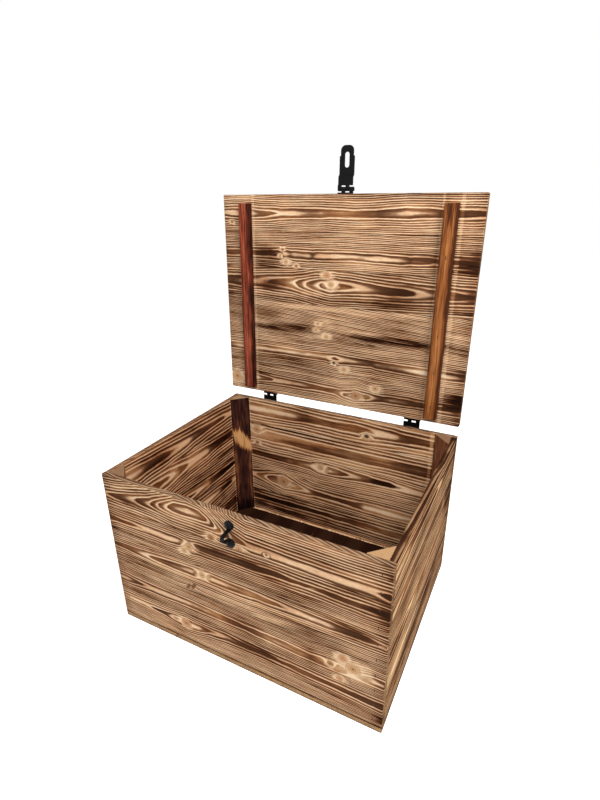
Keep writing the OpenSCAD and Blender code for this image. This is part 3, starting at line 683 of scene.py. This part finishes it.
def left_wall():
    staves = [
        (6.0, 13, [(0, 1.05, 32, .42), (40, 1.15, 32, .36), (66, 1.34, 32, .38), (76, 1.5, 32, .58),
                   (120, 1.75, 32, .62), (137, 1.9, 32, .54), (150, 2.06, 32, .36), (200, 2.32, 32, .34),
                   (216, 2.5, 31, .60), (280, 2.72, 31, .66), (318, 2.9, 31, .60), (334, 3.12, 31, .40),
                   (380, 3.3, 31, .46)]),
        (6.0, 13, [(0, .3, 23, .40), (90, .6, 23, .48), (128, .85, 23, .50), (142, 1.05, 23, .34),
                   (156, 1.34, 23, .38), (166, 1.54, 23, .64), (184, 1.86, 23, .60), (194, 2.06, 23, .36),
                   (254, 2.33, 23, .34), (266, 2.54, 23, .64), (330, 2.7, 23, .70), (380, 2.75, 23, .66)]),
        (5.1, 13, [(0, .9, 42, .56), (180, 1.7, 42, .62), (203, 1.88, 42, .60), (216, 2.06, 42, .40),
                   (248, 2.33, 42, .42), (260, 2.54, 42, .84), (310, 2.72, 42, .94), (380, 2.8, 42, .80)]),
        (5.1, 13, [(0, 1.2, 25, .60), (206, 1.9, 25, .62), (222, 2.06, 25, .40), (284, 2.33, 25, .42),
                   (297, 2.54, 25, .84), (332, 2.8, 25, .90), (348, 3.1, 25, .50), (380, 3.2, 25, .56)]),
        (4.9, 16, [(0, 2.5, 28, .76), (200, 2.6, 28, .80), (380, 2.7, 28, .84)]),
    ]
    blobs = [(105, 33, 36, 7, .15), (270, 31, 55, 6, .15), (310, 81, 46, 6, .18), (300, 160, 42, 9, .2),
             (322, 201, 26, 7, .2), (250, 130, 110, 10, .22), (250, 292, 240, 2.2, -.3)]
    # The lighter top edge, from the negative first edge amount, is a painted highlight along the arris
    # together with less scorched wood.
    return Panel("pine_left", place_left, SIDE_LEN, WALL_STAVE, staves, (), blobs,
                 strips=((349, 2.4, -.35),), seed=13.0, end_axis=1, tint=(255, 242, 233), tone=-0.01,
                 sides=(-0.3, 0.0), haze=0.0, shear=0.05)


def right_wall():
    staves = [
        (6.1, 14, [(0, 1.1, 26, .40), (60, 1.3, 26, .34), (76, 1.55, 26, .52), (150, 1.8, 27, .62),
                   (222, 1.95, 28, .50), (236, 2.1, 28, .34), (262, 2.3, 29, .34), (276, 2.5, 30, .50),
                   (380, 2.7, 30, .66)]),
        (4.6, 17, [(0, 2.2, 30, .36), (130, 2.4, 30, .42), (380, 2.5, 30, .50)]),
        (5.3, 14, [(0, 1.6, 44, .52), (90, 1.8, 44, .60), (116, 2.1, 44, .36), (142, 2.34, 43, .40),
                   (152, 2.6, 43, .58), (240, 2.5, 42, .46), (300, 2.2, 40, .44), (380, 2.6, 38, .80)]),
        (4.8, 17, [(0, 2.1, 36, .26), (140, 2.2, 36, .30), (250, 2.5, 38, .48), (380, 2.6, 40, .50)]),
        (5.3, 14, [(0, 2.5, 12, .50), (100, 2.6, 12, .58), (230, 2.6, 12, .74), (380, 2.4, 14, .56)]),
    ]
    blobs = [(160, 27, 60, 7, .2), (45, 22, 26, 3, -.3), (80, 110, 70, 8, .2), (250, 101, 60, 4, .25),
             (170, 152, 150, 20, -.22), (350, 110, 34, 30, .4), (90, 212, 38, 3, -.35),
             (150, 213, 22, 3, -.35), (150, 236, 150, 9, .35), (250, 232, 80, 12, .25),
             (60, 265, 70, 14, -.2), (92, 266, 16, 5, .4), (320, 200, 60, 25, .12), (305, 92, 14, 16, -.3)]
    return Panel("pine_right", place_right, SIDE_LEN, WALL_STAVE, staves, (), blobs, seed=19.0, end_axis=1,
                 ends=(0.0, 0.4), sides=(0.3, 0.0), tint=(255, 250, 236))


def lid_panel():
    staves = [
        (3.1, 13, [(0, 1.3, 33, .40), (20, 1.12, 33, .34), (60, 1.28, 33, .34), (82, 1.55, 34, .50),
                   (120, 1.86, 34, .46), (130, 2.05, 34, .30), (170, 2.2, 33, .26), (215, 2.33, 33, .32),
                   (226, 2.5, 33, .48), (280, 2.62, 34, .54), (324, 2.48, 33, .46), (336, 2.33, 33, .30),
                   (375, 2.16, 32, .26), (415, 2.32, 32, .32), (430, 2.52, 32, .50), (502, 2.7, 32, .58)]),
        (2.8, 12, [(0, 2.6, 41, .64), (80, 2.55, 41, .62), (118, 2.3, 41, .44), (135, 1.9, 41, .36),
                   (150, 2.3, 41, .42), (160, 2.2, 41, .34), (190, 2.24, 41, .36), (198, 2.42, 41, .46),
                   (206, 2.28, 41, .36), (240, 2.12, 41, .34), (330, 2.14, 41, .38), (366, 2.28, 42, .40),
                   (378, 2.38, 42, .50), (386, 2.5, 42, .56), (394, 2.36, 42, .44), (418, 2.36, 42, .44),
                   (428, 2.52, 42, .62), (502, 2.7, 42, .72)]),
        (3.6, 19, [(0, 4.6, 29, .54), (75, 4.14, 29, .46), (112, 3.6, 29, .56), (155, 3.14, 29, .40),
                   (170, 2.62, 29, .52), (184, 2.14, 29, .36), (197, 1.62, 29, .50), (210, 1.14, 29, .34),
                   (222, .66, 29, .48), (237, .12, 28, .26), (252, .6, 29, .46), (275, .78, 29, .50),
                   (303, 1.14, 30, .32), (330, 1.52, 30, .54), (372, 1.82, 30, .56), (404, 2.12, 31, .36),
                   (432, 2.42, 31, .48), (502, 2.8, 31, .58)]),
        (2.8, 6, [(0, 1.2, 96, .46), (110, 1.2, 104, .56), (200, 1.2, 112, .40), (260, 1.2, 118, .42),
                  (430, 1.2, 132, .44), (502, 1.2, 138, .52)]),
        (2.9, 11, [(0, 2.4, 36, .46), (70, 2.14, 36, .40), (230, 2.2, 36, .36), (250, 1.6, 37, .36),
                   (270, 1.95, 37, .38), (286, 2.12, 37, .34), (318, 2.3, 37, .38), (326, 2.45, 37, .44),
                   (336, 2.3, 38, .40), (420, 2.14, 39, .38), (436, 2.02, 39, .40), (502, 2.3, 39, .56)]),
        (2.9, 13, [(0, 1.3, 36, .44), (30, 1.2, 36, .40), (67, 1.36, 36, .40), (76, 1.6, 36, .58),
                   (99, 1.84, 36, .56), (108, 2.05, 36, .36), (184, 2.32, 37, .36), (198, 2.5, 37, .52),
                   (250, 2.6, 38, .50), (262, 2.3, 40, .34), (275, 1.6, 41, .30), (297, .4, 41, .24),
                   (320, 1.6, 40, .34), (335, 2.2, 39, .40), (352, 2.5, 38, .52), (368, 2.34, 37, .42),
                   (400, 2.3, 37, .42), (416, 2.52, 37, .56), (502, 2.7, 37, .66)]),
    ]
    knots = [(18, 50, 3, "brown"), (133, 99, 2.8, "brown"), (140, 122, 4, "pale"), (163, 129, 3, "brown"),
             (128, 110, 2.6, "pale"), (237, 160, 5, "pale"), (228, 143, 6, "orange"),
             (211, 237, 3, "pale"), (207, 250, 3, "pale"), (230, 262, 4, "pale"), (248, 313, 3, "black"),
             (270, 324, 4.5, "pale"), (297, 375, 8, "eye"), (337, 353, 5, "pale"), (14, 376, 10, "pale")]
    blobs = [(60, 9, 120, 4, -.2), (370, 3, 150, 3, .35), (290, 108, 95, 5, -.15), (410, 87, 32, 3, -.5),
             (94, 118, 34, 26, .35), (482, 112, 24, 10, .3), (108, 166, 44, 14, .35),
             (18, 200, 26, 44, .2), (385, 168, 50, 22, .3), (380, 372, 60, 18, .2),
             (110, 196, 60, 6, .25), (98, 225, 30, 12, .18), (370, 255, 110, 10, .62),
             (138, 252, 66, 10, .55), (250, 207, 230, 6, -.4), (300, 190, 210, 9, .22),
             (260, 246, 170, 2, -.35), (225, 240, 20, 24, -.3), (120, 322, 110, 14, .25),
             (140, 366, 70, 22, .2), (420, 300, 60, 12, -.15),
             (150, 300, 85, 5, -.28), (355, 316, 80, 8, .2), (120, 338, 70, 6, .2),
             (250, 391, 200, 8, -.15), (486, 300, 24, 10, .3), (486, 358, 26, 20, .5),
             (486, 165, 24, 10, .2), (486, 236, 20, 7, -.35), (40, 20, 40, 10, -.12),
             (20, 220, 24, 14, -.2), (22, 300, 24, 12, -.2), (58, 255, 30, 8, .3)]
    return Panel("pine_lid", place_lid, LID_W, LID_STAVE, staves, knots, blobs,
                 strips=((68, 3.0, -.4), (434, 2.6, -.4), (465, 3.2, -.4)), seed=29.0, ends=(0.15, 0.28),
                 haze=0.2, tone=-0.04)


def bottom_panel():
    staves = [(3.2, 14, [(0, 1.5 + 0.13 * i, 30, .38), (200, 2.3, 34, .42), (400, 2.6 - 0.1 * i, 30, .38)])
              for i in range(BOTTOM_STAVES)]
    blobs = [(352, 190, 16, 50, -.3), (200, 12, 260, 3.5, -.5), (340, 110, 12, 30, -.2)]
    return Panel("pine_bottom", place_bottom, BOX_D, BOX_W / BOTTOM_STAVES, staves, (), blobs,
                 strips=((388, 1.8, -2.4),), foot=0.8, char=1.35, seed=41.0, end_axis=1)


# ---------- stained and charred pieces ----------

WANDER_WAVE = (60.0, 14.0)          # wave lengths of the noises along the grain and across it
CLOUD_WAVE = (34.0, 9.0)
STREAK_LENGTH = 55.0
STREAK_WANDER = 5.0                 # how far the streaks wander across the grain
STREAK_LIGHT, CLOUD_LIGHT = 2.6, 0.7                    # how much each noise changes the lightness
PATCH_RAGGED, PATCH_EDGE = 2.2, (0.6, 1.25)             # in the patch's own size
SHADE_EDGE = (0.6, 6.5)              # distance from a long edge, over which the painted shade fades out
END_RINGS, END_BOW, END_MIDDLE = 2.1, 0.06, 8.0         # year rings on a sawn end, which bow


@dataclass
class Strip:
    """What sets one post or batten apart. Its grain runs along u and shows as fine streaks. Its
    colours go from the darkest to the lightest; a patch is (u, v, half-length, half-width, amount
    of light, lean)."""
    name: str
    place: object                   # function that gives u, v and w from x, y and z
    colours: tuple
    seed: float
    width: float = 0.0
    # painted shade darkening the first and last long edge, on a batten's shadow side and in the corners
    # beside a post
    shaded_edges: tuple = (0.0, 0.0)
    patches: tuple = ()
    streak: float = 0.9             # strength and width of the streaks
    fine: float = 1.5
    base: float = 0.5               # usual lightness
    grime: float = 0.1              # dirt on the sawn ends


def streaky_wood(strip):
    """The material of a post or batten: streaks and clouds along u, patches, painted shade along
    the long edges, and sawn ends."""
    t = new_tree(strip.name)
    x, y, z = t.split(t.coords())
    u, v, w = strip.place(x * MM, y * MM, z * MM)
    along, across = WANDER_WAVE
    wander = t.noise(t.vec(u / along, v / across, strip.seed + w / across)) - 0.5
    bent = (v + wander * STREAK_WANDER) / strip.fine
    lines = t.noise(t.vec(u / STREAK_LENGTH, bent, w / strip.fine + strip.seed), detail=3.0, rough=0.6)
    along, across = CLOUD_WAVE
    cloud = t.noise(t.vec(u / along, v / across, strip.seed + 5.0 + w / across), detail=3.0)
    light = strip.base + (lines - 0.5) * (STREAK_LIGHT * strip.streak) + (cloud - 0.5) * CLOUD_LIGHT
    for at_u, at_v, half_u, half_v, amount, lean in strip.patches:
        far = ellipse(u, v, at_u, at_v, half_u, half_v, lean)
        light = light + t.step(far + (lines - 0.5) * PATCH_RAGGED, *PATCH_EDGE, amount, 0.0)
    # Painted shade: the wood darkens towards both long edges.
    for far, amount in ((v, strip.shaded_edges[0]), (strip.width - v, strip.shaded_edges[1])):
        if amount:
            light = light - t.step(far + wander * STREAK_WANDER, *SHADE_EDGE, amount, 0.0)
    last = len(strip.colours) - 1
    colour = t.ramp(light, [(i / last, srgb(*shade)) for i, shade in enumerate(strip.colours)])
    bow = (v - END_MIDDLE) * (v - END_MIDDLE) * END_BOW
    rings = (w * END_RINGS + bow + wander * 3.0).sin() * 0.5 + 0.5
    sawn = t.mix(strip.grime, t.mix(rings * 0.5 + cloud * 0.3, END_GRAIN, END_DARK), END_GRIME)
    colour = t.mix(t.faces(2) * 0.9, colour, sawn)
    return t.surface(colour, 0.45 + 0.12 * lines, lines, bump_mm=0.18, specular=0.08)


END_GRIME = srgb(92, 60, 44)
CHARRED = ((14, 6, 6), (44, 22, 18), (80, 45, 34), (146, 88, 50), (214, 160, 104))
TAN = ((96, 64, 44), (150, 108, 76), (206, 164, 122))
RUSSET = ((66, 32, 22), (132, 78, 52), (178, 122, 86))
MAHOGANY = ((34, 12, 8), (124, 53, 34), (174, 90, 60))
TEAK = ((68, 34, 15), (134, 76, 36), (178, 118, 68))


def back_left_post():
    patches = ((104, 22, 22, 27, .72, .95), (190, 3, 70, 6, .34, 0), (205, 39, 84, 5, .38, 0),
               (290, 20, 26, 40, -.3, 0))
    return Strip("post_charred", place_post(-1, 1), CHARRED, shaded_edges=(.12, .2), width=POST_FACE,
                 seed=3.0, streak=0.34, fine=2.6, base=0.34, patches=patches, grime=0.35)


def back_right_post():
    return Strip("post_back_right", place_post(1, 1), RUSSET, seed=8.0, shaded_edges=(.2, .3),
                 width=POST_FACE, grime=0.75)


def front_left_post():
    return Strip("post_front_left", place_post(-1, -1), TAN, seed=11.0, grime=0.7)


def front_right_post():
    return Strip("post_front_right", place_post(1, -1), TAN, seed=15.0)


def left_batten():
    return Strip("batten_mahogany", place_batten("lid_batten_left"), MAHOGANY, shaded_edges=(.2, .5),
                 width=BATTEN_W, seed=5.0, streak=1.1, fine=1.9,
                 patches=((120, 8, 40, 8, .2, 0), (300, 9, 60, 6, .2, 0)))


def right_batten():
    return Strip("batten_teak", place_batten("lid_batten_right"), TEAK, shaded_edges=(.4, .7),
                 width=BATTEN_W, seed=9.0, streak=0.9, fine=1.9,
                 patches=((300, 11, 90, 8, .25, 0), (20, 12, 30, 12, -.35, 0)))


# ---------- metal ----------

def black_metal():
    """Black coating, a little worn."""
    t = new_tree("black_metal")
    speck = t.noise(t.coords(), scale=900.0)
    worn = t.step(t.noise(t.coords(), scale=130.0, detail=3.0), 0.58, 0.75, 0.0, 0.5)
    colour = t.mix(worn, srgb(5, 5, 6), srgb(15, 14, 15))
    return t.surface(colour, 0.38 + 0.2 * speck, speck, bump_mm=0.03, specular=0.10)


def staple_wire():
    """Bare wire, dulled by the flame."""
    t = new_tree("staple_wire")
    dull = t.noise(t.coords(), scale=400.0)
    colour = t.mix(dull, srgb(30, 23, 19), srgb(66, 52, 43))
    return t.surface(colour, 0.42 + 0.2 * dull, dull, bump_mm=0.02, metallic=0.3, specular=0.2)


# ---------- dress the nodes ----------

PANELS = {"front_wall": front_wall, "back_wall": back_wall, "left_wall": left_wall,
          "right_wall": right_wall, "lid_panel": lid_panel, "bottom_panel": bottom_panel}
STRIPS = {"corner_post_back_left": back_left_post, "corner_post_back_right": back_right_post,
          "corner_post_front_left": front_left_post, "corner_post_front_right": front_right_post,
          "lid_batten_left": left_batten, "lid_batten_right": right_batten}


def dress(nodes):
    """Gives every node its material; what isn't wood is wire or black metal."""
    finishes = {name: Boards(panel()).material() for name, panel in PANELS.items()}
    finishes.update({name: streaky_wood(strip()) for name, strip in STRIPS.items()})
    metal, wire = black_metal(), staple_wire()
    for name, obj in nodes.items():
        obj.data.materials.clear()
        obj.data.materials.append(finishes.get(name, wire if name.endswith("staples") else metal))


# ---------- floor, light and camera ----------

AMBIENT = 0.22                      # world light on the object; the background shows at 1
FLOOR_GREY = 0.86
FLOOR_GLOW = 0.82                   # brings the floor up to the white of the background
KEY_LIGHT = {"place": (-0.6, -2.2, 2.0), "target": (0, 0, 0.35), "size": 2.2, "power": 27}
TOP_LIGHT = {"place": (0.8, -0.5, 1.9), "target": (-0.05, 0.05, 0.1), "size": 0.8, "power": 42}
CAMERA_PLACE = (0.36884, -0.67905, 0.72845)
CAMERA_TURN = math.radians(27.303)  # to the left of the box's front, as the camera looks
CAMERA_DIP = math.radians(22.562)
CAMERA_ROLL = math.radians(-0.555)
CAMERA_LENS = 22.273                # on a sensor 36 mm wide


def add_floor():
    bpy.ops.mesh.primitive_plane_add(size=30)
    floor = bpy.context.object
    floor.name = "studio_floor"
    t = new_tree("studio_white")
    diffuse = t.fill(t.new("ShaderNodeBsdfDiffuse"), grey(FLOOR_GREY))
    glow = t.fill(t.new("ShaderNodeEmission"), grey(1.0), t.shows() * FLOOR_GLOW)
    t.put(t.out.inputs[0], t.fill(t.new("ShaderNodeAddShader"), diffuse, glow))
    floor.data.materials.append(t.owner)


def add_world():
    world = bpy.data.worlds.new("studio")
    bpy.context.scene.world = world
    t = Tree(world, "ShaderNodeOutputWorld")
    strength = t.shows() * (1.0 - AMBIENT) + AMBIENT
    t.put(t.out.inputs[0], t.fill(t.new("ShaderNodeBackground"), grey(1.0), strength))


def add_light(name, place, target, size, power):
    data = bpy.data.lights.new(name, "AREA")
    data.shape = "SQUARE"
    data.size = size
    data.energy = power
    lamp = bpy.data.objects.new(name, data)
    bpy.context.scene.collection.objects.link(lamp)
    lamp.location = place
    lamp.rotation_euler = (Vector(target) - Vector(place)).to_track_quat("-Z", "Y").to_euler()


def add_camera():
    data = bpy.data.cameras.new("camera")
    data.sensor_width = 36.0
    data.lens = CAMERA_LENS
    data.clip_start = 0.01
    camera = bpy.data.objects.new("camera", data)
    bpy.context.scene.collection.objects.link(camera)
    turn = Matrix.Rotation(CAMERA_TURN, 4, "Z")
    dip = Matrix.Rotation(math.pi / 2 - CAMERA_DIP, 4, "X")
    roll = Matrix.Rotation(CAMERA_ROLL, 4, "Z")
    camera.matrix_world = Matrix.Translation(CAMERA_PLACE) @ turn @ dip @ roll
    bpy.context.scene.camera = camera


dress(frame["nodes"])
add_floor()
add_world()
add_light("key", **KEY_LIGHT)
add_light("top", **TOP_LIGHT)
add_camera()
bpy.context.scene.view_settings.view_transform = "Standard"
